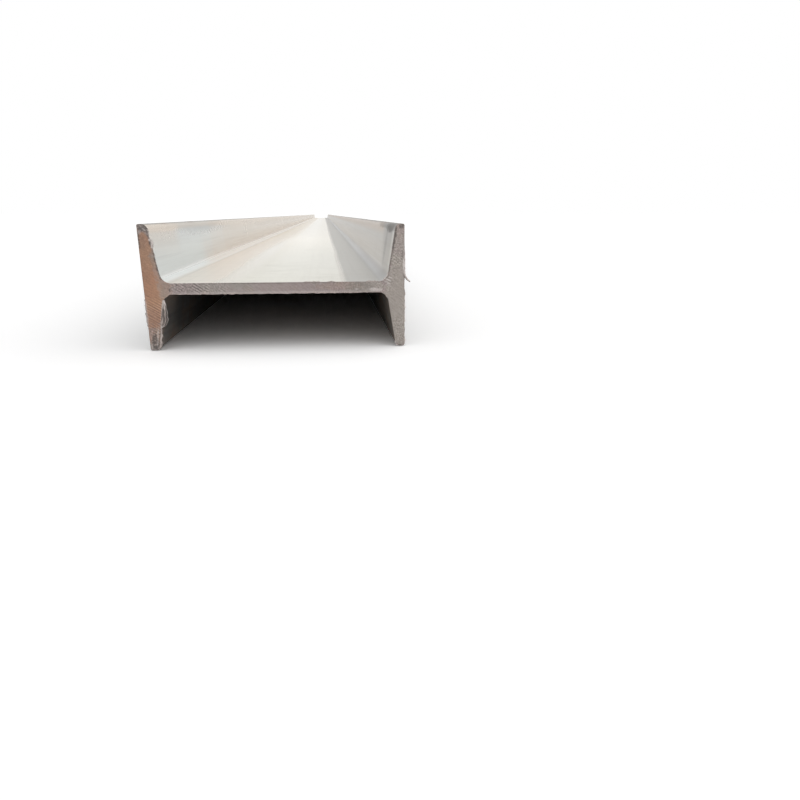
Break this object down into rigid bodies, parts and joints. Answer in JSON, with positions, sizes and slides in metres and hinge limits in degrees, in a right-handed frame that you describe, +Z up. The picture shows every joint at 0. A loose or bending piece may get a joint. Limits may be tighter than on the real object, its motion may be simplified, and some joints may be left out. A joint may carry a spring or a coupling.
{
  "type": "steel i-beam",
  "caption": "Hot-rolled steel I-beam with tapered flanges, filleted web roots and square sawn ends, lying on its flange toes with the web level.",
  "frame": {"origin": "middle of the length and of the section's depth, on the floor under the lower flange toes", "axes": "+Y along the rolled length, +X across the section's depth towards the back of one flange, +Z up, square to the web"},
  "size_m": [0.25, 12, 0.118],
  "materials": {
    "hot_rolled_steel": "as rolled: grey mill scale with a thin bloom of rust, and bare sawn ends"
  },
  "bodies": {
    "root": {"steel_i_beam": "hot_rolled_steel"}
  },
  "joints": []
}
